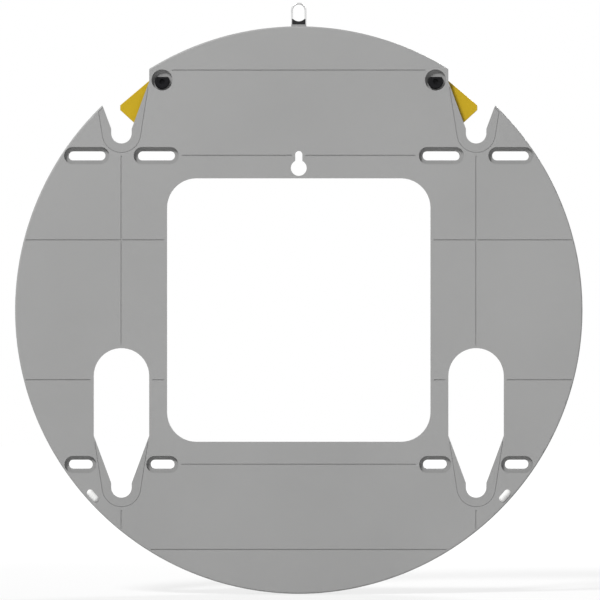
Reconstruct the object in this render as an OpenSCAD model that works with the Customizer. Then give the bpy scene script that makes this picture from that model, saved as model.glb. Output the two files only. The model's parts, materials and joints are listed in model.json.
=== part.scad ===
// Round wall mount for a hanging display: face plate, rear frame, two latches and their release.
// The plate stands upright: X to the right, Z up, the wall is the plane Y = 0 and the front faces -Y.
// The origin is the plate's centre on the wall. Shapes are drawn lying down, with x to the right, y up
// and z out from the wall, and stand() turns them upright.

/* [Face plate] */
// Diameter of the face plate
plate_d = 560; // [540:1:600]
// Distance from the wall to the front of the plate
depth = 20; // [19:0.5:26]
// Thickness of the face plate
plate_t = 4; // [3.5:0.5:6]
// Rounding of the plate's front rim
edge_r = 1.5; // [0.5:0.25:2.5]
// Width of the plate between its rim and the square opening, across the middle
band_w = 150; // [149:0.5:160]
// Corner radius of the square opening
opening_r = 29; // [15:1:40]

/* [Pin openings] */
// Distance of the pin columns from the plate's side
pin_in = 105; // [104:0.5:108]
// Distance of the hook seats from the plate's top
hook_in = 105.5; // [104:0.5:108]
// Distance of the lower seats from the plate's foot
slot_in = 105; // [100:0.5:110]
// Width of a pin seat
seat_w = 20.2; // [16:0.2:22]
// Width of the mouth that the pin enters by
mouth_w = 54.8; // [48:0.2:57]
// Height above the seat where the flanks start to open
flank_low = 4.3; // [2:0.1:8]
// Height above the seat where the mouth has its full width
flank_high = 51; // [46:0.5:54]
// Height above the lower seat of the round top's centre
round_up = 110; // [80:1:112]

/* [Wear liners] */
// Radius of a liner round its seat
land_r = 19.2; // [17:0.1:21]
// Thickness of a liner
liner_t = 2; // [1:0.25:2.5]
// Parting gap round a liner
liner_gap = 0.3; // [0.2:0.1:1.2]
// How far a liner stands into the seat past the plate's edge
liner_lip = 0.5; // [0.2:0.1:1]
// How far a liner stops below the full width of the mouth
liner_end = 6; // [4:0.5:12]

/* [Wall slots] */
// Distance of a row of slots from the plate's top or foot
row_in = 127.6; // [126:0.1:130]
// Length of the upper slots in the plate
upper_slot_l = 44.5; // [36:0.5:46]
// Distance of the upper slots from the pin column
upper_slot_off = 34.3; // [33:0.1:36]
// Length of the lower slots in the plate
lower_slot_l = 31.6; // [26:0.2:36]
// Distance of the lower slots from the pin column
lower_slot_off = 40.4; // [39:0.1:42]
// Height of the slots in the plate
slot_h = 16.9; // [14.5:0.1:18]
// Width of the screw ledge inside a slot
ledge_w = 3.85; // [3:0.05:4.4]

/* [Hanging keyhole] */
// Diameter of the keyhole's round part
key_d = 15.6; // [12:0.2:17]
// Height of the round part's centre above the square opening
key_gap = 10.2; // [9.8:0.2:13]
// Width of the keyhole's neck
key_neck_w = 7; // [5:0.2:8]
// Height of the neck's top above the round part's centre
key_h = 16.8; // [13:0.2:21]

/* [Score lines] */
// Width of a score line
score_w = 1.4; // [0.8:0.1:2]
// Depth of a score line
score_t = 0.7; // [0.3:0.1:1]
// Distance kept from openings
score_gap = 4; // [2:0.5:6]
// Height of the middle lines
score_mid = 69; // [60:1:75]
// Distance of the outer lines from the plate's top or foot
score_in = 43.5; // [42:0.5:48]

/* [Rear frame] */
// Step from the plate's rim in to the frame
frame_inset = 2; // [1:0.25:3]
// Thickness of the frame's walls
wall_t = 4; // [3:0.25:5]
// Thickness of the ribs
rib_t = 3; // [2:0.25:4]
// Gap from the frame's walls to the wall of the room
wall_gap = 1; // [0.5:0.25:2]
// Gap from the ribs to the wall of the room
rib_gap = 7; // [6.5:0.25:9]
// Width of boss round a slot in the plate
boss_rim = 2.2; // [1.5:0.1:3]
// Width of the lip that closes the frame round a slot in the plate
lip_w = 0.6; // [0.4:0.1:0.8]
// Thickness of that lip
lip_t = 1.5; // [1:0.25:2]
// Room left round the pin openings
pin_room = 2; // [1:0.25:2.5]
// Room left round a latch where it turns behind the plate
latch_room = 1; // [0.6:0.1:2]
// Diameter of the posts for the plate's studs
post_d = 12; // [10:0.5:15]

/* [Latches] */
// Pivot's distance from the pin column, towards the centre
pivot_in = 40.1; // [38.5:0.1:41]
// Pivot's height above the hook seat
pivot_up = 51.1; // [50:0.1:52]
// Diameter of the hole in the plate over a pivot
pivot_hole_d = 20.8; // [19:0.2:21]
// How far that hole is centred above the pivot
pivot_hole_up = 1.4; // [0:0.1:2]
// Thickness of a latch
latch_t = 4.8; // [4:0.2:5.2]
// Radius of a latch's hub
hub_r = 9; // [8:0.1:9.4]
// How far the nose reaches past the pin column
nose_past = 1.4; // [0.5:0.1:3]
// Height of the nose's top above the seat
nose_high = 27.8; // [25:0.1:30]
// Height of the nose's foot above the seat
nose_low = 23; // [20:0.1:24]
// Heel's distance from the pin column, towards the centre
heel_in = 12.6; // [11.5:0.1:16]
// Heel's height above the seat
heel_up = 10.2; // [7:0.1:11]
// Length of a latch arm
arm_l = 40; // [36:0.5:44]
// Radius of the arm's end
arm_r = 6.5; // [5.5:0.1:8]
// Angle that a latch turns through
swing = 25; // [20:1:26]

/* [Pivot hardware] */
// Diameter of the pivot screw's shoulder
shoulder_d = 8; // [7:0.25:8.5]
// Diameter of the pivot screw's head
head_d = 15; // [13.6:0.2:16]
// Distance of the flat on the head from the pivot
head_flat = 4.4; // [4.3:0.1:6]
// Height of the pivot screw's head
head_h = 3.7; // [3:0.1:4.5]
// Width across the flats of the socket in the head
socket_af = 5; // [4:0.5:6]
// Depth of the socket in the head
socket_t = 2.4; // [1.5:0.1:2.6]
// Diameter of the pivot screw's thread
thread_d = 6; // [5:0.25:6.5]
// Outside diameter of a latch bush
bush_d = 12; // [10.5:0.25:13]
// Thickness of the pad that carries a pivot
pad_t = 3; // [2.5:0.25:3.5]
// Radius of the pad that carries a pivot
pad_r = 14; // [12:0.25:15]
// Diameter of a pivot washer
washer_d = 16; // [14:0.25:17]
// Thickness of a pivot washer
washer_t = 1.2; // [0.8:0.1:1.4]
// Width across the flats of a pivot nut
nut_af = 10; // [9:0.25:12]
// Thickness of a pivot nut
nut_t = 4.4; // [3.5:0.1:4.8]

/* [Release bar] */
// Thickness of the bar
bar_t = 2; // [1.5:0.1:2.4]
// Height of the bar
bar_h = 16; // [14:0.5:18]
// Gap between the latches and the bar
bar_gap = 1.9; // [1.2:0.1:2.2]
// Distance of a guide screw from the centre
guide_x = 55; // [45:1:65]
// Diameter of a guide screw's shoulder
guide_d = 6; // [5:0.25:7]
// Diameter of a guide screw's head
guide_head_d = 11; // [10:0.25:13]
// Height of a guide screw's head
guide_head_h = 2.2; // [1.8:0.1:2.4]
// Diameter of a guide screw's thread
guide_thread_d = 4; // [3:0.25:4.5]
// Length of a guide screw's thread
guide_thread_l = 6; // [4:0.5:7]
// Diameter of the drive pins
drive_d = 6; // [5:0.25:7]
// Width of metal round a guide slot
lug_rim = 6; // [4:0.5:8]
// Height of the strap that carries the guides
strap_h = 24; // [20:1:26]

/* [Pull] */
// Diameter of the pull rod
rod_d = 4; // [3.5:0.25:4.5]
// Wall of the block round the rod
block_wall = 2; // [1.7:0.1:2.1]
// Width of the block that holds the rod
block_w = 22; // [20:0.5:24]
// Diameter of the block's rivets
rivet_d = 3; // [2.5:0.1:3.4]
// Distance of a rivet from the rod
rivet_x = 7.3; // [6.5:0.1:8]
// Width of the rod guide's collar
collar_w = 15; // [13:0.5:18]
// Height of the rod guide's collar
collar_h = 4; // [3:0.25:5]
// Diameter of the rod guide's sleeve
sleeve_d = 9; // [8:0.25:10]
// How far the sleeve stands out below the frame's wall
sleeve_out = 3; // [2:0.25:5]
// Height of the pull block at its sides
grip_h = 5.6; // [5:0.1:8]
// Thickness of the pull block
grip_t = 8; // [7:0.25:9]
// Height of the pull block under the loop
saddle_h = 3.2; // [2.4:0.1:4]
// Radius of the hollow under the loop
saddle_r = 8; // [7:0.25:12]
// Diameter of the loop's wire
wire_d = 2; // [1.6:0.1:2.4]
// Distance between the loop's legs
leg_pitch = 13.4; // [12:0.1:14]
// Height of the loop above the collar
loop_h = 22; // [18:0.5:30]

/* [Return spring] */
// Diameter of the spring's wire
coil_wire_d = 1; // [0.8:0.05:1.1]
// Radius of the spring's coil
coil_r = 3.75; // [3.7:0.05:4.2]
// Number of curls
coil_n = 12; // [8:1:14]

/* [Bumpers] */
// Length of a bumper along the rim
bumper_l = 14; // [10:0.5:18]
// Width of a bumper
bumper_w = 6.4; // [5:0.2:7.5]
// Height of a bumper above the plate
bumper_h = 2.4; // [1.5:0.1:3]
// Distance from the rim to the middle of a bumper
bumper_in = 6.4; // [6:0.1:9]
// Angle of a bumper below the horizontal
bumper_angle = 42; // [30:1:48]

/* [Studs] */
// Diameter of the plate's studs
stud_d = 4; // [3:0.25:5]
// Width across the flats of a stud nut
stud_nut_af = 7; // [7:0.25:9]
// Thickness of a stud nut
stud_nut_t = 3.2; // [2.4:0.1:4]
// How far a stud stands out of its nut
stud_out = 0.8; // [0.4:0.1:1.2]
// Distance of the side studs from the plate's side
stud_in = 55; // [40:1:62]
// Distance of the upper, lower and bottom studs from the centre
stud_mid = 78; // [70:1:90]
// Distance of the strap's studs from the centre
stud_strap = 30; // [26:0.5:36]

/* [Fits] */
// Radial clearance of a turning or sliding shaft
run = 0.05; // [0.02:0.01:0.08]
// Gap beside a moving piece
slide_gap = 0.3; // [0.2:0.05:0.5]
// Clearance of a screw or stud in its hole
hole_gap = 0.25; // [0.1:0.05:0.5]

/* [Hidden] */
$fn = 96;
// Overshoot of a cut past the face that it opens
cut = 1;
// How far a hook's mouth is cut past the plate's top
mouth_over = 10;
// Angle cleared past a latch's full swing
sweep_over = 6;
// Room beside the block in its channel, over the sliding gaps
channel_room = 2;
// How far a flank runs inside the round that it leaves, so that the two cross cleanly
bite = 0.01;

// Radii of the plate and the frame
plate_r = plate_d / 2;
frame_r = plate_r - frame_inset;
frame_in = frame_r - wall_t;
opening_w = plate_d - 2 * band_w;
// Seats of the pins
pin_x = plate_r - pin_in;
hook_up = plate_r - hook_in;
slot_down = plate_r - slot_in;
hook_seat = [pin_x, hook_up];
slot_seat = [pin_x, -slot_down];
seat_r = seat_w / 2;
mouth_r = mouth_w / 2;
// Height above a hook seat that lies clear of the rim
hook_open = hook_in + mouth_over;
// Heights of the slots, the keyhole and the outer score lines, and the side studs' distance from the centre
row_z = plate_r - row_in;
key_up = opening_w / 2 + key_gap;
key_top = key_up + key_h;
score_far = plate_r - score_in;
stud_side = plate_r - stud_in;
// Heights out from the wall, counted back from the plate
plate_back = depth - plate_t;
pad_z = plate_back - pad_t;
latch_top = pad_z - slide_gap;
latch_back = latch_top - latch_t;
shoulder_end = latch_back - slide_gap;
washer_back = shoulder_end - washer_t;
nut_back = washer_back - nut_t;
bar_front = latch_back - bar_gap;
bar_back = bar_front - bar_t;
rod_z = bar_front + block_wall + rod_d / 2;
block_front = bar_front + rod_d + 2 * block_wall;
// Latch geometry on the right-hand side
pivot = [pin_x - pivot_in, hook_up + pivot_up];
pivot_hole = pivot + [0, pivot_hole_up];
half_swing = swing / 2;
arm_end = pivot + arm_l * [-cos(half_swing), -sin(half_swing)];
nose_top = hook_seat + [nose_past, nose_high];
nose_foot = hook_seat + [nose_past, nose_low];
heel = hook_seat + [-heel_in, heel_up];
sweep_r = norm(heel - pivot) + latch_room;
sweep_from = atan2(nose_top[1] - pivot[1], nose_top[0] - pivot[0]);
sweep_to = atan2(heel[1] - pivot[1], heel[0] - pivot[0]) - swing - sweep_over;
// Travel of the release, from the arm's arc
travel = arm_l * swing * PI / 180;
bar_y = arm_end[1];
guide_y = bar_y + travel / 2;
lug_r = guide_d / 2 + lug_rim;
// Length of a rivet through the bar into the block
rivet_l = bar_t + block_wall + rod_d / 2;
// Heights of the pull's pieces
block_top = bar_y + bar_h / 2;
collar_top = frame_r + collar_h;
spring_top = frame_in - sleeve_out;
leg_x = leg_pitch / 2;
wire_r = wire_d / 2;
loop_mid = collar_top + loop_h - leg_x - wire_r;
leg_foot = collar_top + slide_gap;
channel_w = block_w + 4 * slide_gap + channel_room;
// Slots as [x, y, length], for the right-hand side
slots = [
    [pin_x - upper_slot_off, row_z, upper_slot_l], [pin_x + upper_slot_off, row_z, upper_slot_l],
    [pin_x - lower_slot_off, -row_z, lower_slot_l], [pin_x + lower_slot_off, -row_z, lower_slot_l]
];
// Studs on the ribs and on the strap, for the right-hand side
rib_studs = [
    [stud_side, score_mid], [stud_side, -score_mid], [stud_mid, row_z], [stud_mid, -row_z],
    [stud_mid, -score_far]
];
strap_stud = [stud_strap, guide_y + strap_h / 4];

// Turns a shape that was drawn lying down upright against the wall
module stand() {
    rotate([90, 0, 0]) children();
}

// Extrudes an outline from height low to height high
module slab(low, high) {
    translate([0, 0, low]) linear_extrude(high - low) children();
}

// Repeats a right-hand shape on both sides
module both_sides() {
    children();
    mirror([1, 0, 0]) children();
}

// Outline of two circles and their outer tangents
module link(a, ra, b, rb) {
    d = b - a;
    dir = atan2(d[1], d[0]);
    open = acos((ra - rb) / norm(d));
    left = [cos(dir + open), sin(dir + open)];
    right = [cos(dir - open), sin(dir - open)];
    fa = ra - bite;
    fb = rb - bite;
    translate(a) circle(ra);
    translate(b) circle(rb);
    polygon([a + fa * left, a + fa * right, b + fb * right, b + fb * left]);
}

// Outline of a slot with round ends, lying along x
module obround(len, wide) {
    half = (len - wide) / 2;
    square([2 * half, wide], center = true);
    for (s = [-1, 1]) translate([s * half, 0]) circle(wide / 2);
}

// Point where the tangent from q meets a circle of radius r about c; side is 1 or -1
function touch(q, c, r, side) =
    let (d = q - c, f = r - bite, at = atan2(d[1], d[0]) + side * acos(f / norm(d)))
    c + f * [cos(at), sin(at)];

// Square with rounded corners
module soft_square(w, r) {
    inner = w - 2 * r;
    square([w, inner], center = true);
    square([inner, w], center = true);
    for (sx = [-1, 1], sy = [-1, 1]) translate([sx * inner / 2, sy * inner / 2]) circle(r);
}

// Seat, flanks and straight mouth of a pin opening, from its seat up to a height
module pin_plan(r, half, top) {
    circle(r);
    polygon([
        [-r, 0], [r, 0], [r, flank_low], [half, flank_high], [half, top],
        [-half, top], [-half, flank_high], [-r, flank_low]
    ]);
}

// Land round a seat: a circle with tangents up to the corners of the mouth
module land_plan(r, half) {
    corner = [half, flank_high];
    t = touch(corner, [0, 0], r, -1);
    circle(r);
    polygon([corner, [-half, flank_high], [-t[0], t[1]], t]);
}

// Upper pin opening, open over the rim
module hook_plan(r) {
    translate(hook_seat) pin_plan(r, mouth_r, hook_open);
}

// Lower pin opening with its round top
module drop_plan(r) {
    translate(slot_seat) {
        pin_plan(r, mouth_r, round_up);
        translate([0, round_up]) circle(mouth_r);
    }
}

// Flat ring from one radius to another
module ring(inner, outer) {
    difference() {
        circle(outer);
        circle(inner);
    }
}

// Land at a seat, stopped below the mouth's corners and inside the rim
module liner_plan(seat, inset) {
    stop = flank_high - liner_end - inset;
    difference() {
        translate(seat) land_plan(land_r - inset, mouth_r - inset);
        translate(seat + [-mouth_w, stop]) square([2 * mouth_w, mouth_w]);
        ring(plate_r - edge_r - liner_gap - inset, plate_d);
    }
}

// Keyhole for hanging the plate on one screw, with room all round it
module key_plan(room) {
    neck_r = key_neck_w / 2;
    translate([0, key_up]) circle(key_d / 2 + room);
    link([0, key_up], neck_r + room, [0, key_top - neck_r], neck_r + room);
}

// Score line from point a to point b, along x or y
module score(a, b) {
    low = [min(a[0], b[0]), min(a[1], b[1])];
    size = [abs(b[0] - a[0]), abs(b[1] - a[1])];
    translate(low - [score_w / 2, score_w / 2]) square(size + [score_w, score_w]);
}

// Reach of a level line at height y inside a circle of radius r
function reach(r, y) = sqrt(r * r - y * y);

// Right-hand half of the score lines
module score_lines() {
    rim = plate_r - edge_r - cut;
    open_edge = opening_w / 2 + score_gap;
    hole_reach = reach(pivot_hole_d / 2 + score_gap, score_far - pivot_hole[1]);
    upper_end = pin_x - upper_slot_off - upper_slot_l / 2 - score_gap;
    lower_end = pin_x - lower_slot_off - lower_slot_l / 2 - score_gap;
    score([0, score_far], [pivot[0] - hole_reach, score_far]);
    score([key_neck_w / 2 + score_gap, row_z], [upper_end, row_z]);
    score([open_edge, score_mid], [reach(rim, score_mid), score_mid]);
    score([open_edge, -score_mid], [pin_x - mouth_r - score_gap, -score_mid]);
    score([pin_x + mouth_r + score_gap, -score_mid], [reach(rim, score_mid), -score_mid]);
    score([0, -row_z], [lower_end, -row_z]);
    score([0, -score_far], [reach(rim, score_far), -score_far]);
    score([pin_x, hook_up - land_r - score_gap], [pin_x, round_up - slot_down + mouth_r + score_gap]);
    score([pin_x, -slot_down - land_r - score_gap], [pin_x, -reach(rim, pin_x)]);
}

// Section of the plate's disc with its rounded front rim
module disc_section() {
    square([plate_r, plate_t - edge_r]);
    square([plate_r - edge_r, plate_t]);
    translate([plate_r - edge_r, plate_t - edge_r]) circle(edge_r);
}

module front_plate() {
    color("#a4a4a4") stand() difference() {
        translate([0, 0, plate_back]) rotate_extrude() disc_section();
        slab(plate_back - cut, depth + cut) {
            soft_square(opening_w, opening_r);
            key_plan(0);
            both_sides() {
                hook_plan(seat_r + liner_lip);
                drop_plan(seat_r + liner_lip);
                for (s = slots) translate([s[0], s[1]]) obround(s[2], slot_h);
                translate(pivot_hole) circle(pivot_hole_d / 2);
            }
        }
        slab(depth - liner_t, depth + cut) both_sides() {
            liner_plan(hook_seat, 0);
            liner_plan(slot_seat, 0);
        }
        slab(depth - score_t, depth + cut) both_sides() score_lines();
    }
}

// Wall round a pin opening, and the room that it leaves
module pin_wall(seat, top, grow) {
    half = mouth_r + grow;
    translate(seat) {
        land_plan(land_r + grow, half);
        translate([-half, flank_high - cut]) square([2 * half, top - flank_high + cut]);
    }
}

module hook_room(grow) {
    pin_wall(hook_seat, hook_open, grow);
}

module drop_room(grow) {
    pin_wall(slot_seat, round_up, grow);
    translate(slot_seat + [0, round_up]) circle(mouth_r + grow);
}

// Room behind the pads that the latch's hub, nose and arm sweep through
module latch_sweep() {
    far = sweep_r * 2;
    mid = (sweep_from + sweep_to) / 2;
    translate(pivot) {
        link([0, 0], hub_r + latch_room, nose_top - pivot, latch_room);
        intersection() {
            circle(sweep_r);
            polygon(concat([[0, 0]], [for (a = [sweep_from, mid, sweep_to]) far * [cos(a), sin(a)]]));
        }
        for (a = [0, half_swing, swing])
            rotate(-a) link([0, 0], hub_r + latch_room, arm_end - pivot, arm_r + latch_room);
    }
}

// Right-hand half of the frame's ribs
module ribs() {
    rib = rib_t / 2;
    inner = opening_w / 2;
    for (y = [row_z, -row_z]) translate([0, y - rib]) square([reach(frame_in, y) + rib, rib_t]);
    for (y = [score_mid, -score_mid])
        translate([inner, y - rib]) square([reach(frame_in, y) + rib - inner, rib_t]);
    translate([0, -score_far - rib]) square([reach(frame_in, score_far) + rib, rib_t]);
    translate([pin_x - rib, -reach(frame_in, pin_x)]) square([rib_t, reach(frame_in, pin_x) + hook_up]);
    for (s = rib_studs) translate(s) circle(post_d / 2 - rib);
}

// Right-hand half of the strap with its pivot pad
module strap_plan() {
    out = atan2(pivot[1], pivot[0]);
    translate(pivot) circle(pad_r);
    arm = frame_in + wall_t / 2 - norm(pivot);
    translate(pivot) rotate(out) translate([0, -pad_r]) square([arm, 2 * pad_r]);
    translate([channel_w / 2, guide_y - strap_h / 2]) square([pivot[0] - channel_w / 2, strap_h]);
}

// Right-hand wall of the channel that the rod and the spring run in
module channel_wall() {
    low = guide_y - strap_h / 2;
    translate([channel_w / 2, low]) square([rib_t, reach(frame_in, channel_w) + wall_t / 2 - low]);
}

module frame_body() {
    slab(wall_gap, plate_back) ring(frame_in, plate_r);
    slab(rib_gap, plate_back) {
        soft_square(opening_w + 2 * (pin_room + wall_t), opening_r + pin_room + wall_t);
        both_sides() ribs();
        both_sides() channel_wall();
    }
    both_sides() {
        slab(wall_gap, plate_back) {
            hook_room(pin_room + wall_t);
            drop_room(pin_room + wall_t);
        }
        for (s = slots) translate([s[0], s[1]]) slab(0, plate_back)
            obround(s[2] + 2 * boss_rim, slot_h + 2 * boss_rim);
        for (s = rib_studs) translate(s) slab(rib_gap, plate_back) circle(post_d / 2);
        slab(pad_z, plate_back) strap_plan();
        translate([guide_x, guide_y]) slab(bar_front + slide_gap, plate_back) circle(guide_head_d / 2);
    }
}

// Lips behind the plate where a slot comes past the frame's rim or into a pin's room
module slot_lips() {
    slab(plate_back - lip_t, plate_back) both_sides() for (s = slots) translate([s[0], s[1]]) difference() {
        obround(s[2] + 2 * lip_w, slot_h + 2 * lip_w);
        obround(s[2] - ledge_w, slot_h - ledge_w);
    }
}

module rear_frame() {
    color("#9a9a9a") stand() slot_lips();
    color("#9a9a9a") stand() difference() {
        frame_body();
        slab(-cut, depth) {
            ring(frame_r, plate_d);
            soft_square(opening_w + 2 * pin_room, opening_r + pin_room);
            key_plan(pin_room);
            both_sides() {
                hook_room(pin_room);
                drop_room(pin_room);
                for (s = slots) translate([s[0], s[1]]) obround(s[2] - 2 * ledge_w, slot_h - 2 * ledge_w);
                translate(pivot) circle(shoulder_d / 2 + run);
                for (s = concat(rib_studs, [strap_stud])) translate(s) circle(stud_d / 2 + hole_gap);
            }
        }
        slab(-cut, pad_z) both_sides() latch_sweep();
        both_sides() translate([guide_x, guide_y, bar_front])
            cylinder(d = guide_thread_d, h = guide_thread_l + cut);
        translate([0, frame_in - cut, rod_z]) rotate([-90, 0, 0])
            cylinder(d = sleeve_d, h = wall_t + 2 * cut);
    }
}

// Stud from the plate's back through a seat at height low, and its nut
module stud_at(at, low) {
    translate(at) slab(low - stud_nut_t - stud_out, plate_back) circle(stud_d / 2);
}

module stud_nut_at(at, low) {
    translate(at) slab(low - stud_nut_t, low) difference() {
        circle(d = stud_nut_af / cos(30), $fn = 6);
        circle(stud_d / 2);
    }
}

module plate_studs() {
    color("silver") stand() both_sides() {
        for (s = rib_studs) stud_at(s, rib_gap);
        stud_at(strap_stud, pad_z);
    }
}

module stud_nuts() {
    color("silver") stand() both_sides() {
        for (s = rib_studs) stud_nut_at(s, rib_gap);
        stud_nut_at(strap_stud, pad_z);
    }
}

// Wear liners of the right-hand side, flush with the plate
module hook_liner() {
    color("#9c9c9c") stand() slab(depth - liner_t, depth) difference() {
        liner_plan(hook_seat, liner_gap);
        hook_plan(seat_r);
    }
}

module slot_liner() {
    color("#9c9c9c") stand() slab(depth - liner_t, depth) difference() {
        liner_plan(slot_seat, liner_gap);
        drop_plan(seat_r);
    }
}

// Outline of the right-hand latch at rest
module latch_plan() {
    crown = touch(nose_top, pivot, hub_r, 1);
    back = touch(heel, pivot, hub_r, -1);
    translate(pivot) circle(hub_r);
    polygon([nose_top, crown, pivot, back, heel, nose_foot]);
    link(pivot, hub_r, arm_end, arm_r);
}

module latch() {
    color("#cfac2e") stand() slab(latch_back, latch_top) difference() {
        latch_plan();
        translate(pivot) circle(bush_d / 2);
        translate(arm_end) circle(drive_d / 2);
    }
}

module latch_bush() {
    color("peru") stand() translate(pivot) slab(latch_back, latch_top) difference() {
        circle(bush_d / 2);
        circle(shoulder_d / 2 + run);
    }
}

module drive_pin() {
    color("silver") stand() translate(arm_end) slab(bar_back - slide_gap, latch_top) circle(drive_d / 2);
}

// Section of a screw head with a rounded top edge
module head_section(r, h, soft) {
    square([r - soft, h]);
    square([r, h - soft]);
    translate([r - soft, h - soft]) circle(soft);
}

module pivot_screw() {
    soft = head_h / 3;
    color("#1e1e1e") stand() translate(pivot) difference() {
        union() {
            translate([0, 0, plate_back]) rotate_extrude() head_section(head_d / 2, head_h, soft);
            slab(shoulder_end, plate_back) circle(shoulder_d / 2);
            slab(nut_back - stud_out, shoulder_end) circle(thread_d / 2);
        }
        slab(plate_back + head_h - socket_t, depth + cut) circle(d = socket_af / cos(30), $fn = 6);
        slab(plate_back - cut, depth + cut) translate([-head_d, head_flat]) square([2 * head_d, head_d]);
    }
}

module pivot_washer() {
    color("silver") stand() translate(pivot) slab(washer_back, shoulder_end) difference() {
        circle(washer_d / 2);
        circle(thread_d / 2 + hole_gap);
    }
}

module pivot_nut() {
    color("silver") stand() translate(pivot) slab(nut_back, washer_back) difference() {
        circle(d = nut_af / cos(30), $fn = 6);
        circle(thread_d / 2);
    }
}

// Right-hand half of the release bar: strip, guide lug and their slots
module bar_half() {
    slot_r = guide_d / 2 + slide_gap;
    drive_r = drive_d / 2 + slide_gap;
    top = [guide_x, guide_y];
    low = [guide_x, guide_y - travel];
    difference() {
        union() {
            translate([0, bar_y - bar_h / 2]) square([arm_end[0], bar_h]);
            translate(arm_end) circle(bar_h / 2);
            link(top, lug_r, low, lug_r);
        }
        link(top, slot_r, low, slot_r);
        link([pivot[0] - arm_l, bar_y], drive_r, arm_end, drive_r);
        translate([rivet_x, bar_y]) circle(rivet_d / 2);
    }
}

module release_bar() {
    color("lightsteelblue") stand() slab(bar_back, bar_front) both_sides() bar_half();
}

module bar_guide_screws() {
    seat = bar_front + slide_gap;
    under = bar_back - slide_gap;
    color("silver") stand() both_sides() translate([guide_x, guide_y]) difference() {
        union() {
            slab(under - guide_head_h, under) circle(guide_head_d / 2);
            slab(under, seat) circle(guide_d / 2);
            slab(seat, bar_front + guide_thread_l) circle(guide_thread_d / 2);
        }
        slab(under - guide_head_h - cut, under - guide_head_h / 2) circle(d = guide_d / 2, $fn = 6);
    }
}

module rod_block() {
    color("gray") stand() difference() {
        translate([-block_w / 2, bar_y - bar_h / 2, bar_front])
            cube([block_w, bar_h, block_front - bar_front]);
        translate([0, bar_y - bar_h / 2 - cut, rod_z]) rotate([-90, 0, 0])
            cylinder(d = rod_d, h = bar_h + 2 * cut);
        both_sides() translate([rivet_x, bar_y, bar_back]) cylinder(d = rivet_d, h = rivet_l);
    }
}

module block_rivets() {
    head_t = bar_t / 2;
    color("silver") stand() both_sides() translate([rivet_x, bar_y]) {
        slab(bar_back, bar_back + rivet_l) circle(rivet_d / 2);
        slab(bar_back - head_t, bar_back) circle(rivet_d);
    }
}

module pull_rod() {
    low = bar_y - bar_h / 2;
    color("silver") stand() translate([0, low, rod_z]) rotate([-90, 0, 0])
        cylinder(d = rod_d, h = collar_top + saddle_h / 2 - low);
}

module rod_guide() {
    color("#9e9e9e") stand() difference() {
        union() {
            translate([-collar_w / 2, frame_r, rod_z - sleeve_d / 2]) cube([collar_w, collar_h, sleeve_d]);
            translate([0, spring_top, rod_z]) rotate([-90, 0, 0])
                cylinder(d = sleeve_d, h = collar_top - spring_top);
        }
        translate([0, spring_top - cut, rod_z]) rotate([-90, 0, 0])
            cylinder(r = rod_d / 2 + run, h = collar_top - spring_top + 2 * cut);
    }
}

module pull_block() {
    color("#262626") stand() difference() {
        translate([-leg_x, collar_top, rod_z - grip_t / 2]) cube([leg_pitch, grip_h, grip_t]);
        translate([0, collar_top + saddle_h + saddle_r, rod_z - grip_t])
            cylinder(r = saddle_r, h = 2 * grip_t);
        translate([0, collar_top - cut, rod_z]) rotate([-90, 0, 0])
            cylinder(d = rod_d, h = saddle_h / 2 + cut);
        both_sides() translate([leg_x, leg_foot, rod_z]) rotate([-90, 0, 0]) cylinder(r = wire_r, h = grip_h);
    }
}

module pull_loop() {
    color("gainsboro") stand() translate([0, 0, rod_z]) {
        translate([0, loop_mid, 0]) rotate_extrude(angle = 180) translate([leg_x, 0]) circle(wire_r);
        both_sides() translate([leg_x, leg_foot, 0]) rotate([-90, 0, 0])
            cylinder(r = wire_r, h = loop_mid - leg_foot);
    }
}

// Helix of the return spring about the rod, with 8 rings a curl of 6 sides
ring_n = 8 * coil_n;
side_n = 6;
coil_low = block_top + coil_wire_d / 2 + slide_gap / 2;
coil_high = spring_top - coil_wire_d / 2 - slide_gap / 2;
function coil_at(i) = [
    coil_r * cos(360 * i / 8),
    coil_low + (coil_high - coil_low) * i / ring_n,
    rod_z + coil_r * sin(360 * i / 8)
];
function coil_ring(i) =
    let (
        a = 360 * i / 8,
        out = [cos(a), 0, sin(a)],
        rise = (coil_high - coil_low) / coil_n / (2 * PI),
        along = [-coil_r * sin(a), rise, coil_r * cos(a)],
        up = cross(along, out) / norm(along)
    )
    [for (k = [0:side_n - 1]) coil_at(i) + coil_wire_d / 2 * (cos(60 * k) * out + sin(60 * k) * up)];
// Least gap between curls, measured between points at least half a curl apart
coil_gap = min([for (i = [0:ring_n - 5], j = [i + 5:ring_n]) norm(coil_at(i) - coil_at(j))]) - coil_wire_d;
echo(least_gap_of_return_spring = coil_gap);

module return_spring() {
    points = [for (i = [0:ring_n], p = coil_ring(i)) p];
    last = ring_n * side_n;
    walls = [
        for (i = [0:ring_n - 1], k = [0:side_n - 1])
            let (a = i * side_n + k, b = i * side_n + (k + 1) % side_n)
                each [[a, b, a + side_n], [b, b + side_n, a + side_n]]
    ];
    ends = [
        for (k = [1:side_n - 2]) each [[0, k + 1, k], [last, last + k, last + k + 1]]
    ];
    color("dimgray") stand() polyhedron(points, concat(walls, ends));
}

// Right-hand bumper: a round bar along the rim, sunk so that its top stands out of the plate
module bumper() {
    r = (pow(bumper_w / 2, 2) + pow(bumper_h, 2)) / (2 * bumper_h);
    half = (bumper_l - bumper_w) / 2;
    color("whitesmoke") stand() intersection() {
        rotate(-bumper_angle) translate([plate_r - bumper_in, 0, depth + bumper_h - r]) {
            rotate([90, 0, 0]) cylinder(r = r, h = 2 * half, center = true);
            for (s = [-1, 1]) translate([0, s * half, 0]) sphere(r);
        }
        slab(depth, depth + 2 * bumper_h) circle(plate_d);
    }
}

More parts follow.
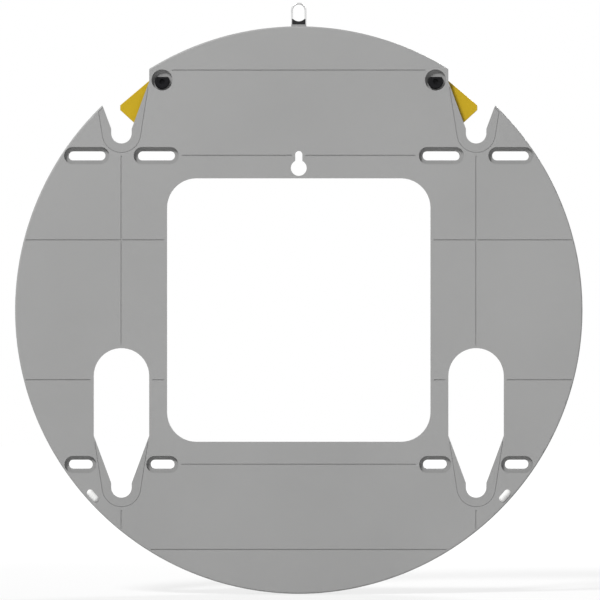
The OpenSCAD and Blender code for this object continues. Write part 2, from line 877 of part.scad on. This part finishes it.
front_plate();
rear_frame();
plate_studs();
stud_nuts();
mirror([1, 0, 0]) hook_liner();  // left_hook_liner
hook_liner();  // right_hook_liner
mirror([1, 0, 0]) slot_liner();  // left_slot_liner
slot_liner();  // right_slot_liner
mirror([1, 0, 0]) latch();  // left_latch
latch();  // right_latch
mirror([1, 0, 0]) latch_bush();  // left_latch_bush
latch_bush();  // right_latch_bush
mirror([1, 0, 0]) pivot_screw();  // left_pivot_screw
pivot_screw();  // right_pivot_screw
mirror([1, 0, 0]) pivot_washer();  // left_pivot_washer
pivot_washer();  // right_pivot_washer
mirror([1, 0, 0]) pivot_nut();  // left_pivot_nut
pivot_nut();  // right_pivot_nut
mirror([1, 0, 0]) drive_pin();  // left_drive_pin
drive_pin();  // right_drive_pin
release_bar();
bar_guide_screws();
rod_block();
block_rivets();
pull_rod();
pull_block();
pull_loop();
rod_guide();
return_spring();
mirror([1, 0, 0]) bumper();  // left_bumper
bumper();  // right_bumper
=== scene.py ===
import bpy
import bmesh
import json
import math
from mathutils import Matrix, Vector


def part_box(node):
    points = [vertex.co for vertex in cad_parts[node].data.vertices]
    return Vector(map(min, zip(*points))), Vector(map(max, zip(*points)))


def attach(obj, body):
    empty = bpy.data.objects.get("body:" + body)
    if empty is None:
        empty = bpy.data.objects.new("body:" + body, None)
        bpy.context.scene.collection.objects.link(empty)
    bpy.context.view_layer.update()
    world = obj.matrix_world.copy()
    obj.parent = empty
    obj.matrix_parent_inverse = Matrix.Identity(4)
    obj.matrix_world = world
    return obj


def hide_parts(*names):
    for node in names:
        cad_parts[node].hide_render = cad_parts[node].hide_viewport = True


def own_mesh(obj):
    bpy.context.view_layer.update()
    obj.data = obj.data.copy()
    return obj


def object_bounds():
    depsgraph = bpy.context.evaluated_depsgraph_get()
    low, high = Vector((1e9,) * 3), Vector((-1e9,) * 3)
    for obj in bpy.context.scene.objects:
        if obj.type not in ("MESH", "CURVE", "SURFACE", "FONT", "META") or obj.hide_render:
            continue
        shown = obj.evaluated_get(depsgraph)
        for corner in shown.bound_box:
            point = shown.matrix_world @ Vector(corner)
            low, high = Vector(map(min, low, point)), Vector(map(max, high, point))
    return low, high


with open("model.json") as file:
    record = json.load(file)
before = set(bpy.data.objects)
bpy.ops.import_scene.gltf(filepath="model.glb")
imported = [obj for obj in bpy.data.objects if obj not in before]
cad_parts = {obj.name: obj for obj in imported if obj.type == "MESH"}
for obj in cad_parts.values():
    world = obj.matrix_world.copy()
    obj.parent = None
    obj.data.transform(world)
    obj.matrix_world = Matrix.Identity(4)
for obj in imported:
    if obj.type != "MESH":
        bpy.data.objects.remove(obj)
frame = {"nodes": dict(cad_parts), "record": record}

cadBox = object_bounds()
nodes = frame["nodes"]
bodyOf = {}
for bodyName, members in frame["record"]["behaviour"]["bodies"].items():
    for member in members:
        bodyOf[member] = bodyName
slotOf = {entry["node"]: entry["material_slot"] for entry in frame["record"]["subparts"]}
print("frame loaded:", len(nodes), "pieces")


# Camera square on to the plate, from far off

camSet = {
    "centre": (0.0012, 0.0099),   # x and z that the view is centred on
    "field": 0.592,               # width of the view at the plate
    "away": 6.0,                  # distance from the plate's front
    "front": 0.02,                # distance of the plate's front from the wall
    "sensor": 36.0,
    "clip": 60,
}

camData = bpy.data.cameras.new("camera")
cam = bpy.data.objects.new("camera", camData)
bpy.context.scene.collection.objects.link(cam)
cam.location = (camSet["centre"][0], -camSet["away"] - camSet["front"], camSet["centre"][1])
cam.rotation_euler = (math.radians(90), 0, 0)
camData.sensor_width = camSet["sensor"]
camData.lens = camSet["sensor"] * camSet["away"] / camSet["field"]
camData.clip_end = camSet["clip"]
bpy.context.scene.camera = cam


# Main light from the upper left, a weak fill, and a light for the back

lightSet = {
    "lamps": {                    # place, size and power
        "keyLamp": ((-4.05, -5.7, 6.3), 2.4, 772),
        "fillLamp": ((1.9, -2.6, 0.2), 2.4, 5),
        "backLamp": ((1.2, 2.4, 1.6), 1.2, 70),
    },
    "ambient": 0.16,              # strength of the white surroundings on matt surfaces
    "white": 1.0,                 # their strength where the camera or a mirror sees them
}


def addLamp(name, place, size, power):
    data = bpy.data.lights.new(name, "AREA")
    data.shape = "DISK"
    data.size = size
    data.energy = power
    lamp = bpy.data.objects.new(name, data)
    lamp.location = place
    lamp.rotation_mode = "QUATERNION"
    lamp.rotation_quaternion = (-Vector(place)).to_track_quat("-Z", "Y")
    bpy.context.scene.collection.objects.link(lamp)


def addNode(tree, kind, values=None):
    node = tree.nodes.new("ShaderNode" + kind)
    for socket, value in (values or {}).items():
        node.inputs[socket].default_value = value
    return node


def addMath(tree, operation, first, second):
    node = addNode(tree, "Math")
    node.operation = operation
    tree.links.new(first, node.inputs[0])
    tree.links.new(second, node.inputs[1])
    return node.outputs[0]


def addRange(tree, value, source, target):
    span = addNode(tree, "MapRange", {
        "From Min": source[0], "From Max": source[1], "To Min": target[0], "To Max": target[1]})
    tree.links.new(value, span.inputs["Value"])
    return span.outputs["Result"]


def mixShaders(tree, share, first, second, output):
    mix = addNode(tree, "MixShader")
    tree.links.new(share, mix.inputs[0])
    tree.links.new(first.outputs[0], mix.inputs[1])
    tree.links.new(second.outputs[0], mix.inputs[2])
    tree.links.new(mix.outputs[0], addNode(tree, output).inputs["Surface"])


def lightWorld():
    world = bpy.data.worlds.new("studio")
    bpy.context.scene.world = world
    world.use_nodes = True
    tree = world.node_tree
    tree.nodes.clear()
    white = (1, 1, 1, 1)
    soft = addNode(tree, "Background", {"Color": white, "Strength": lightSet["ambient"]})
    seen = addNode(tree, "Background", {"Color": white, "Strength": lightSet["white"]})
    path = addNode(tree, "LightPath").outputs
    sight = addMath(tree, "MAXIMUM", path["Is Camera Ray"], path["Is Glossy Ray"])
    sight = addMath(tree, "MAXIMUM", sight, path["Is Transmission Ray"])
    mixShaders(tree, sight, soft, seen, "OutputWorld")


for lampName, (place, size, power) in lightSet["lamps"].items():
    addLamp(lampName, place, size, power)
lightWorld()
bpy.context.scene.view_settings.view_transform = "Standard"
print("camera and light set")


# White floor that keeps a soft shadow

floorSet = {
    "drop": 0.0006,               # gap under the part
    "size": 12.0,
    "glow": 1.185,
    "reach": (0.7, 2.2),          # distances from the part that count as near and far
    "share": (0.6, 0.84),         # share of the glow that the camera sees near and far
    "paper": 0.6,
}


def layFloor():
    mesh = bpy.data.meshes.new("floor")
    work = bmesh.new()
    bmesh.ops.create_grid(work, x_segments=1, y_segments=1, size=floorSet["size"] / 2)
    bmesh.ops.translate(work, verts=work.verts, vec=(0, 0, cadBox[0].z - floorSet["drop"]))
    work.to_mesh(mesh)
    work.free()
    floor = bpy.data.objects.new("floor", mesh)
    bpy.context.scene.collection.objects.link(floor)
    mat = bpy.data.materials.new("floorPaper")
    mat.use_nodes = True
    tree = mat.node_tree
    tree.nodes.clear()
    grey = floorSet["paper"]
    paper = addNode(tree, "BsdfDiffuse", {"Color": (grey, grey, grey, 1)})
    glow = addNode(tree, "Emission", {"Color": (1, 1, 1, 1), "Strength": floorSet["glow"]})
    path = addNode(tree, "LightPath").outputs
    away = addNode(tree, "VectorMath")
    away.operation = "LENGTH"
    tree.links.new(addNode(tree, "TexCoord").outputs["Object"], away.inputs[0])
    share = addRange(tree, away.outputs["Value"], floorSet["reach"], floorSet["share"])
    sight = addMath(tree, "MULTIPLY", path["Is Camera Ray"], share)
    mixShaders(tree, sight, paper, glow, "OutputMaterial")
    mesh.materials.append(mat)


layFloor()
print("floor laid")


# Shared steps for the finishes

noiseSpan = (0.3, 0.7)            # part of a noise that roughness is spread over


def startFinish(name, metallic, roughness):
    mat = bpy.data.materials.new(name)
    mat.use_nodes = True
    tree = mat.node_tree
    shader = tree.nodes["Principled BSDF"]
    shader.inputs["Metallic"].default_value = metallic
    shader.inputs["Roughness"].default_value = roughness
    return mat, tree, shader, addNode(tree, "TexCoord").outputs["Object"]


def addNoise(tree, where, scale, detail, rough=0.5, stretch=None):
    if stretch is not None:
        turn = addNode(tree, "Mapping", {"Scale": stretch})
        tree.links.new(where, turn.inputs["Vector"])
        where = turn.outputs["Vector"]
    noise = addNode(tree, "TexNoise", {"Scale": scale, "Detail": detail, "Roughness": rough})
    tree.links.new(where, noise.inputs["Vector"])
    return noise.outputs["Fac"]


def addRamp(tree, value, stops):
    ramp = addNode(tree, "ValToRGB")
    while len(ramp.color_ramp.elements) < len(stops):
        ramp.color_ramp.elements.new(0.5)
    for element, (at, colour) in zip(ramp.color_ramp.elements, stops):
        element.position = at
        element.color = (colour[0], colour[1], colour[2], 1)
    tree.links.new(value, ramp.inputs["Fac"])
    return ramp.outputs["Color"]


def shade(colour, factor):
    return tuple(min(1.0, c * factor) for c in colour)


def tones(colour, factors):
    return [(at, shade(colour, factor)) for at, factor in factors]


def spreadRoughness(tree, shader, value, roughness, smoother, rougher):
    spread = addRange(tree, value, noiseSpan, (roughness - smoother, roughness + rougher))
    tree.links.new(spread, shader.inputs["Roughness"])


def socketOf(sockets, identifier):
    return [socket for socket in sockets if socket.identifier == identifier][0]


def multiply(tree, share, first, second):
    mix = addNode(tree, "Mix")
    mix.data_type = "RGBA"
    mix.blend_type = "MULTIPLY"
    socketOf(mix.inputs, "Factor_Float").default_value = share
    tree.links.new(first, socketOf(mix.inputs, "A_Color"))
    tree.links.new(second, socketOf(mix.inputs, "B_Color"))
    return socketOf(mix.outputs, "Result_Color")


def addBump(tree, shader, height, depth, strength, under=None):
    bump = addNode(tree, "Bump", {"Strength": strength, "Distance": depth})
    tree.links.new(height, bump.inputs["Height"])
    if under is not None:
        tree.links.new(under, bump.inputs["Normal"])
    tree.links.new(bump.outputs["Normal"], shader.inputs["Normal"])
    return bump.outputs["Normal"]


# Powder coat: a noise is given as scale, detail and roughness, a tone as place and factor

powderSet = {
    "cloud": (7.0, 3.0),
    "cloudAt": (0.3, 0.7),
    "grain": (2600.0, 1.0),
    "grainTones": ((0.25, 0.94), (0.75, 1.0)),
    "grainShare": 0.8,
    "patch": (60.0, 4.0),
    "smoother": 0.05,
    "rougher": 0.06,
    "peelDetail": 2.0,
    "peelStrength": 1.0,
    "grainDepth": 0.4,            # share of the peel's depth
    "grainStrength": 0.6,
}


def powderCoat(name, colour, peel=0.00002, peelScale=900.0, spread=0.03, roughness=0.52, gloss=0.4):
    mat, tree, shader, where = startFinish(name, 0.0, roughness)
    factors = zip(powderSet["cloudAt"], (1 - spread, 1 + spread))
    base = addRamp(tree, addNoise(tree, where, *powderSet["cloud"]), tones(colour, factors))
    grain = addNoise(tree, where, *powderSet["grain"])
    speck = addRamp(tree, grain, tones((1, 1, 1), powderSet["grainTones"]))
    tree.links.new(multiply(tree, powderSet["grainShare"], base, speck), shader.inputs["Base Color"])
    patch = addNoise(tree, where, *powderSet["patch"])
    spreadRoughness(tree, shader, patch, roughness, powderSet["smoother"], powderSet["rougher"])
    skin = addNoise(tree, where, peelScale, powderSet["peelDetail"])
    soft = addBump(tree, shader, skin, peel, powderSet["peelStrength"])
    addBump(tree, shader, grain, peel * powderSet["grainDepth"], powderSet["grainStrength"], soft)
    shader.inputs["Specular IOR Level"].default_value = gloss
    return mat


# Painted casting

castSet = {
    "roughness": 0.6,
    "cloud": (12.0, 5.0),
    "cloudTones": ((0.3, 0.95), (0.7, 1.05)),
    "pits": (520.0, 4.0, 0.6),
    # painted shade: the pit bottoms are coloured darker where the bump sinks
    "pitShadeTones": ((0.28, 0.8), (0.42, 1.0)),
    "pitShadeShare": 0.7,
    "pitDepth": 0.00009,
    "pitStrength": 0.9,
    "smoother": 0.05,
    "rougher": 0.1,
    "wave": (45.0, 2.0),
    "waveDepth": 0.0003,
    "waveStrength": 0.4,
    "gloss": 0.35,
}


def castCoat(name, colour):
    mat, tree, shader, where = startFinish(name, 0.0, castSet["roughness"])
    cloud = addNoise(tree, where, *castSet["cloud"])
    base = addRamp(tree, cloud, tones(colour, castSet["cloudTones"]))
    pits = addNoise(tree, where, *castSet["pits"])
    # The pits are painted darker where the bump is low: painted shade in the pits, on top of the
    # bump's own shading.
    pitShade = addRamp(tree, pits, tones((1, 1, 1), castSet["pitShadeTones"]))
    tree.links.new(multiply(tree, castSet["pitShadeShare"], base, pitShade), shader.inputs["Base Color"])
    spreadRoughness(
        tree, shader, pits, castSet["roughness"], castSet["smoother"], castSet["rougher"])
    wave = addNoise(tree, where, *castSet["wave"])
    soft = addBump(tree, shader, wave, castSet["waveDepth"], castSet["waveStrength"])
    addBump(tree, shader, pits, castSet["pitDepth"], castSet["pitStrength"], soft)
    shader.inputs["Specular IOR Level"].default_value = castSet["gloss"]
    return mat


# Bare metals, oxide and mouldings: broad noise for the tone, fine noise for the surface

lookSet = {
    "plated": {
        "metallic": 1.0, "broad": (160.0, 4.0), "tones": ((0.3, 0.84), (0.55, 1.0)), "warmAt": 0.75,
        "fine": (1500.0, 3.0), "smoother": 0.08, "rougher": 0.1, "depth": 0.00001, "strength": 0.7,
    },
    "rolled": {
        "metallic": 1.0, "broad": (1.0, 3.0, 0.6, (60.0, 900.0, 2400.0)),
        "tones": ((0.25, 0.8), (0.75, 1.1)),
        "smoother": 0.08, "rougher": 0.12, "depth": 0.00001, "strength": 0.8,
    },
    "drawn": {
        "metallic": 1.0, "broad": (1.0, 3.0, 0.5, (2600.0, 2600.0, 120.0)),
        "tones": ((0.25, 0.86), (0.75, 1.06)),
        "smoother": 0.07, "rougher": 0.12, "depth": 0.000008, "strength": 0.7,
    },
    "oxide": {
        "metallic": 0.0, "broad": (420.0, 4.0), "tones": ((0.3, 0.7), (0.7, 1.5)),
        "grit": (2400.0, 2.0), "smoother": 0.08, "rougher": 0.08, "depth": 0.00001, "strength": 0.7,
    },
    "moulded": {
        "metallic": 0.0, "broad": (90.0, 3.0), "tones": ((0.3, 0.93), (0.7, 1.07)),
        "fine": (1700.0, 2.0), "smoother": 0.06, "rougher": 0.08, "depth": 0.00003, "strength": 0.8,
    },
}


def plainFinish(name, colour, lookName, roughness, gloss=None, warm=0.0):
    look = lookSet[lookName]
    mat, tree, shader, where = startFinish(name, look["metallic"], roughness)
    broad = addNoise(tree, where, *look["broad"])
    stops = tones(colour, look["tones"])
    if "warmAt" in look:
        tint = (colour[0] * (1 + warm), colour[1], colour[2] * (1 - warm))
        stops.append((look["warmAt"], tint))
    tree.links.new(addRamp(tree, broad, stops), shader.inputs["Base Color"])
    fine = addNoise(tree, where, *look["fine"]) if "fine" in look else broad
    spreadRoughness(tree, shader, fine, roughness, look["smoother"], look["rougher"])
    height = addNoise(tree, where, *look["grit"]) if "grit" in look else fine
    addBump(tree, shader, height, look["depth"], look["strength"])
    if gloss is not None:
        shader.inputs["Specular IOR Level"].default_value = gloss
    return mat


colours = {
    "plate": (0.372, 0.372, 0.370),
    "frame": (0.335, 0.335, 0.333),
    "liner": (0.364, 0.364, 0.362),
    "latch": (0.60, 0.405, 0.010),
    "screw": (0.006, 0.006, 0.007),
    "zinc": (0.58, 0.60, 0.63),
    "bar": (0.52, 0.53, 0.55),
    "wire": (0.72, 0.72, 0.72),
    "spring": (0.42, 0.43, 0.45),
    "bush": (0.55, 0.35, 0.16),
    "grip": (0.018, 0.018, 0.019),
    "bumper": (0.92, 0.92, 0.91),
}
finishes = {
    "plate_paint": powderCoat("platePowder", colours["plate"]),
    "frame_paint": castCoat("frameCast", colours["frame"]),
    "liner_paint": powderCoat(
        "linerPowder", colours["liner"], peel=0.000016, peelScale=1200.0, spread=0.02, roughness=0.46),
    "collar_paint": powderCoat("collarPowder", colours["plate"]),
    "latch_paint": powderCoat(
        "latchYellow", colours["latch"], peelScale=700.0, spread=0.04, roughness=0.42, gloss=0.3),
    "black_steel": plainFinish("screwOxide", colours["screw"], "oxide", 0.5, gloss=0.12),
    "zinc_steel": plainFinish("zincPlate", colours["zinc"], "plated", 0.34, warm=0.05),
    "bar_steel": plainFinish("barRolled", colours["bar"], "rolled", 0.36),
    "bright_steel": plainFinish("wireBright", colours["wire"], "drawn", 0.25),
    "spring_steel": plainFinish("springWire", colours["spring"], "drawn", 0.3),
    "bronze": plainFinish("bushBronze", colours["bush"], "plated", 0.4, warm=0.06),
    "black_plastic": plainFinish("gripMoulded", colours["grip"], "moulded", 0.48, gloss=0.2),
    "pale_rubber": plainFinish("bumperRubber", colours["bumper"], "moulded", 0.6, gloss=0.4),
}
for nodeName, obj in nodes.items():
    obj.data.materials.clear()
    obj.data.materials.append(finishes[slotOf[nodeName]])
print("finishes made:", len(finishes))


def placePiece(name, work, nodeName):
    mesh = bpy.data.meshes.new(name)
    work.to_mesh(mesh)
    work.free()
    piece = bpy.data.objects.new(name, mesh)
    bpy.context.scene.collection.objects.link(piece)
    mesh.materials.clear()
    mesh.materials.append(finishes[slotOf[nodeName]])
    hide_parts(nodeName)
    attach(piece, bodyOf[nodeName])
    return piece


# Softened edges: width of the rounding on each piece

edgeSet = {
    "front_plate": 0.0002,
    "rear_frame": 0.0006,
    "left_latch": 0.0004,
    "right_latch": 0.0004,
    "left_hook_liner": 0.0001,
    "right_hook_liner": 0.0001,
    "left_slot_liner": 0.0001,
    "right_slot_liner": 0.0001,
    "left_pivot_screw": 0.0002,
    "right_pivot_screw": 0.0002,
    "left_pivot_washer": 0.00015,
    "right_pivot_washer": 0.00015,
    "left_latch_bush": 0.0002,
    "right_latch_bush": 0.0002,
    "left_drive_pin": 0.0004,
    "right_drive_pin": 0.0004,
    "release_bar": 0.0002,
    "bar_guide_screws": 0.0003,
    "rod_block": 0.0003,
    "rod_guide": 0.0003,
    "pull_block": 0.0005,
}
softSet = {
    "weld": 0.00004,
    "flat": 0.5,                  # degrees under which faces count as one
    "sharp": 38,                  # degrees over which an edge is rounded
    "rounds": 2,
    "weight": 100,                # shading follows the largest faces alone
    "tie": 0.000001,              # areas this close share the shading
}

# Long facets on the round rims are split and put back on the true curve

rimSet = {
    "rounding": 0.0015,           # radius of the plate's front rim
    "slack": 0.00003,
    "frameBand": 0.0065,          # width of the frame's rim that is split
    "facet": 0.004,
    "fine": 0.0025,
    "passes": 3,
    "reach": 0.6,                 # least share of the radius that lies on the rounding
    "front": 0.9999,              # a face turned further to the front than this is flat
    "digits": 5,
}


def levelOf(vert):
    return Vector((vert.co.x, vert.co.z))


def splitRings(work, inner):
    rings = {}
    for edge in work.edges:
        first, second = [levelOf(vert).length for vert in edge.verts]
        rise = abs(edge.verts[0].co.y - edge.verts[1].co.y)
        cuts = int(edge.calc_length() / rimSet["facet"])
        even = max(abs(first - second), rise) < rimSet["slack"]
        if cuts and even and min(first, second) > inner:
            ring = (cuts, round((first + second) / 2, rimSet["digits"]))
            rings.setdefault(ring, []).append(edge)
    for (cuts, radius), edges in rings.items():
        made = bmesh.ops.subdivide_edges(work, edges=edges, cuts=cuts)
        for vert in made["geom_inner"]:
            if isinstance(vert, bmesh.types.BMVert):
                out = radius / levelOf(vert).length
                vert.co.x *= out
                vert.co.z *= out


def roundFrontRim(work):
    low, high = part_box("front_plate")
    rounding = rimSet["rounding"]
    slack = rimSet["slack"]
    ringR = high.x - rounding     # centre line of the rounding
    ringY = low.y + rounding

    def sectionOf(vert):
        return Vector((levelOf(vert).length - ringR, vert.co.y - ringY))

    def onRounding(vert):
        at = sectionOf(vert)
        return at.x > -slack and at.y < slack and at.length > rimSet["reach"] * rounding

    def onRim(face):
        return face.normal.y > -rimSet["front"] and all(onRounding(vert) for vert in face.verts)

    for turn in range(rimSet["passes"]):
        faces = [face for face in work.faces if onRim(face)]
        faces = bmesh.ops.triangulate(work, faces=faces)["faces"]
        rim = set(faces)
        edges = [edge for edge in work.edges if edge.calc_length() > rimSet["fine"]]
        edges = [edge for edge in edges if edge.link_faces and rim.issuperset(edge.link_faces)]
        bmesh.ops.subdivide_edges(work, edges=edges, cuts=1, use_grid_fill=True)
        for vert in [vert for vert in work.verts if onRounding(vert)]:
            section = sectionOf(vert).normalized() * rounding
            level = levelOf(vert).normalized() * (ringR + section.x)
            vert.co = (level.x, ringY + section.y, level.y)


def softenEdges(nodeName, width):
    work = bmesh.new()
    work.from_mesh(nodes[nodeName].data)
    bmesh.ops.remove_doubles(work, verts=work.verts, dist=softSet["weld"])
    bmesh.ops.dissolve_degenerate(work, edges=work.edges, dist=softSet["weld"])
    bmesh.ops.dissolve_limit(
        work, angle_limit=math.radians(softSet["flat"]), verts=work.verts, edges=work.edges)
    if nodeName == "front_plate":
        splitRings(work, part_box(nodeName)[1].x - rimSet["slack"])
    if nodeName == "rear_frame":
        splitRings(work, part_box(nodeName)[1].x - rimSet["frameBand"])
    least = math.radians(softSet["sharp"])
    sharp = [edge for edge in work.edges if edge.calc_face_angle(0) > least]
    bmesh.ops.bevel(
        work, geom=sharp, offset=width, offset_type="OFFSET", affect="EDGES",
        segments=softSet["rounds"], profile=0.5, material=-1, clamp_overlap=True)
    if nodeName == "front_plate":
        roundFrontRim(work)
    for face in work.faces:
        face.smooth = True
    piece = placePiece(nodeName + "Soft", work, nodeName)
    even = piece.modifiers.new("shading", "WEIGHTED_NORMAL")
    even.mode = "FACE_AREA"
    even.weight = softSet["weight"]
    even.thresh = softSet["tie"]


for nodeName, width in edgeSet.items():
    softenEdges(nodeName, width)
print("edges softened on", len(edgeSet), "pieces")


# Shared steps for turned and wound pieces

turnSet = {"weld": 0.000002, "close": 0.0000005, "digits": 5}


def loosePieces(nodeName):
    work = bmesh.new()
    work.from_mesh(nodes[nodeName].data)
    bmesh.ops.remove_doubles(work, verts=work.verts, dist=turnSet["weld"])
    left = set(work.verts)
    boxes = []
    while left:
        queue = [left.pop()]
        group = []
        while queue:
            vert = queue.pop()
            group.append(vert.co.copy())
            for edge in vert.link_edges:
                other = edge.other_vert(vert)
                if other in left:
                    left.remove(other)
                    queue.append(other)
        low = Vector([min(co[axis] for co in group) for axis in range(3)])
        high = Vector([max(co[axis] for co in group) for axis in range(3)])
        boxes.append((low, high))
    work.free()
    digits = turnSet["digits"]
    return sorted(boxes, key=lambda pair: (round(pair[0].x, digits), round(pair[0].z, digits)))


def turnProfile(work, points, middle, steps, closed):
    verts = [work.verts.new((middle.x + radius, along, middle.z)) for radius, along in points]
    ends = verts[1:] + ([verts[0]] if closed else [])
    edges = [work.edges.new(pair) for pair in zip(verts, ends)]
    bmesh.ops.spin(
        work, geom=verts + edges, cent=middle, axis=(0, 1, 0), dvec=(0, 0, 0),
        angle=2 * math.pi, steps=steps, use_merge=True, use_duplicate=False)


def finishTurned(work, sharp):
    bmesh.ops.remove_doubles(work, verts=work.verts, dist=turnSet["close"])
    bmesh.ops.recalc_face_normals(work, faces=work.faces)
    for face in work.faces:
        face.smooth = True
    for edge in work.edges:
        if len(edge.link_faces) == 2 and edge.calc_face_angle() > math.radians(sharp):
            edge.smooth = False


def partsOf(geometry, kind):
    return [item for item in geometry if isinstance(item, kind)]


def closeTube(work, close, sharp):
    bmesh.ops.remove_doubles(work, verts=work.verts, dist=close)
    bmesh.ops.holes_fill(work, edges=[edge for edge in work.edges if edge.is_boundary], sides=0)
    finishTurned(work, sharp)


# Hexagon nuts with chamfered corners

nutSet = {
    "steps": 48,
    "crown": 0.95,                # share of the width over flats that stays flat on top
    "slope": 30,
    "mouth": 0.0003,
    "sharp": 25,
    "pivotBore": 0.003,
}


def hexReach(angle, flats):
    sixth = math.pi / 3
    return flats / 2 / math.cos(angle % sixth - sixth / 2)


def addNut(work, low, high, bore):
    flats = high.z - low.z
    middle = (low + high) / 2
    crown = nutSet["crown"] * flats / 2
    mouth = nutSet["mouth"]
    side = (high.y - low.y) / 4   # the corners of the sides are set by the chamfer below
    before = set(work.verts)
    points = [
        (bore, low.y + mouth), (bore + mouth, low.y), (crown, low.y), (flats / 2, low.y + side),
        (flats / 2, high.y - side), (crown, high.y), (bore + mouth, high.y), (bore, high.y - mouth),
    ]
    turnProfile(work, points, middle, nutSet["steps"], True)
    for vert in set(work.verts) - before:
        across = levelOf(vert) - Vector((middle.x, middle.z))
        if across.length < (crown + flats / 2) / 2:
            continue
        reach = hexReach(math.atan2(across.y, across.x), flats)
        drop = max(reach - crown, 0) * math.tan(math.radians(nutSet["slope"]))
        across = across.normalized() * reach
        vert.co.x = middle.x + across.x
        vert.co.z = middle.z + across.y
        vert.co.y = low.y + drop if vert.co.y < middle.y else high.y - drop


def makeNuts(nodeName, bore):
    work = bmesh.new()
    boxes = loosePieces(nodeName)
    for low, high in boxes:
        addNut(work, low, high, bore)
    finishTurned(work, nutSet["sharp"])
    placePiece(nodeName + "Hex", work, nodeName)
    return len(boxes)


studBoxes = loosePieces("plate_studs")
studR = (studBoxes[0][1].x - studBoxes[0][0].x) / 2
nutCount = makeNuts("stud_nuts", studR)
nutCount += makeNuts("left_pivot_nut", nutSet["pivotBore"])
nutCount += makeNuts("right_pivot_nut", nutSet["pivotBore"])
print("nuts turned:", nutCount)


# Studs with a threaded end

studSet = {"steps": 32, "pitch": 0.0007, "thread": 0.0004, "threads": 8, "sharp": 30}


def makeStuds():
    work = bmesh.new()
    pitch = studSet["pitch"]
    for low, high in studBoxes:
        middle = (low + high) / 2
        radius = (high.x - low.x) / 2
        tip = high.y
        root = radius - studSet["thread"]
        start = tip - studSet["thread"] - studSet["threads"] * pitch
        points = [(0.0, low.y), (radius, low.y), (radius, start)]
        for turn in range(studSet["threads"]):
            at = start + turn * pitch
            points += [(root, at + pitch / 2), (radius, at + pitch)]
        points += [(root, tip), (0.0, tip)]
        turnProfile(work, points, middle, studSet["steps"], False)
    finishTurned(work, studSet["sharp"])
    placePiece("threadedStuds", work, "plate_studs")


makeStuds()
print("studs threaded:", len(studBoxes))


# Domed rivets through the release bar

rivetSet = {
    "steps": 32,
    "rounds": 8,
    "rim": 0.2,                   # share of the head's height that is straight
    "sharp": 35,
}


def makeRivets():
    work = bmesh.new()
    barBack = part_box("release_bar")[1].y
    boxes = loosePieces("block_rivets")
    for low, high in boxes:
        middle = (low + high) / 2
        headR = (high.x - low.x) / 2
        shankR = headR / 2
        rim = barBack + rivetSet["rim"] * (high.y - barBack)
        points = [
            (0.0, low.y), (shankR, low.y), (shankR, barBack), (headR, barBack), (headR, rim)]
        for turn in range(1, rivetSet["rounds"]):
            lift = math.pi / 2 * turn / rivetSet["rounds"]
            points.append((headR * math.cos(lift), rim + (high.y - rim) * math.sin(lift)))
        points.append((0.0, high.y))
        turnProfile(work, points, middle, rivetSet["steps"], False)
    finishTurned(work, rivetSet["sharp"])
    placePiece("domedRivets", work, "block_rivets")
    return len(boxes)


print("rivets domed:", makeRivets())


# Pull loop bent from one round wire

loopSet = {"sides": 20, "steps": 40, "wireR": 0.001, "sharp": 60}


def growStraight(work, edges, rise):
    grown = bmesh.ops.extrude_edge_only(work, edges=edges)["geom"]
    bmesh.ops.translate(work, verts=partsOf(grown, bmesh.types.BMVert), vec=(0, 0, rise))
    return [edge for edge in partsOf(grown, bmesh.types.BMEdge) if edge.is_boundary]


def makeLoop():
    low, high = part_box("pull_loop")
    mid = (low + high) / 2
    wireR = loopSet["wireR"]
    legX = (high.x - low.x) / 2 - wireR
    bendZ = high.z - legX - wireR
    work = bmesh.new()
    ring = bmesh.ops.create_circle(
        work, cap_ends=False, segments=loopSet["sides"], radius=wireR)
    bmesh.ops.translate(work, verts=ring["verts"], vec=(mid.x + legX, mid.y, low.z))
    edges = growStraight(work, list(work.edges), bendZ - low.z)
    spun = bmesh.ops.spin(
        work, geom=edges, cent=(mid.x, mid.y, bendZ), axis=(0, -1, 0), dvec=(0, 0, 0),
        angle=math.pi, steps=loopSet["steps"])
    growStraight(work, partsOf(spun["geom_last"], bmesh.types.BMEdge), low.z - bendZ)
    closeTube(work, turnSet["close"], loopSet["sharp"])
    placePiece("bentLoop", work, "pull_loop")


makeLoop()
print("loop bent")


# Return spring, wound with closed ends

springSet = {
    "curls": 12,
    "wireR": 0.0005,
    "coilR": 0.00375,
    "steps": 28,
    "sides": 10,
    "closedCurls": 1.0,
    "snug": 2.1,                  # pitch of the closed end curls, in wire radii
    "close": 0.0000002,
    "sharp": 60,
}


def makeSpring():
    low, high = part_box("return_spring")
    mid = (low + high) / 2
    wireR = springSet["wireR"]
    work = bmesh.new()
    ring = bmesh.ops.create_circle(
        work, cap_ends=False, segments=springSet["sides"], radius=wireR)
    bmesh.ops.rotate(
        work, verts=ring["verts"], cent=(0, 0, 0), matrix=Matrix.Rotation(math.radians(90), 3, "X"))
    start = Vector((mid.x + springSet["coilR"], mid.y, low.z + wireR))
    bmesh.ops.translate(work, verts=ring["verts"], vec=start)
    total = high.z - low.z - 2 * wireR
    closed = springSet["closedCurls"]
    snug = springSet["snug"] * wireR
    opened = springSet["curls"] - 2 * closed
    pitch = (total - 2 * closed * snug) / opened
    edges = list(work.edges)
    for curls, rise in ((closed, snug), (opened, pitch), (closed, snug)):
        count = int(round(curls * springSet["steps"]))
        spun = bmesh.ops.spin(
            work, geom=edges, cent=(mid.x, mid.y, 0), axis=(0, 0, 1),
            dvec=(0, 0, rise / springSet["steps"]), angle=2 * math.pi * curls, steps=count)
        edges = partsOf(spun["geom_last"], bmesh.types.BMEdge)
    closeTube(work, springSet["close"], springSet["sharp"])
    piece = placePiece("returnSpring", work, "return_spring")
    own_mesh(piece)


makeSpring()
print("spring wound")
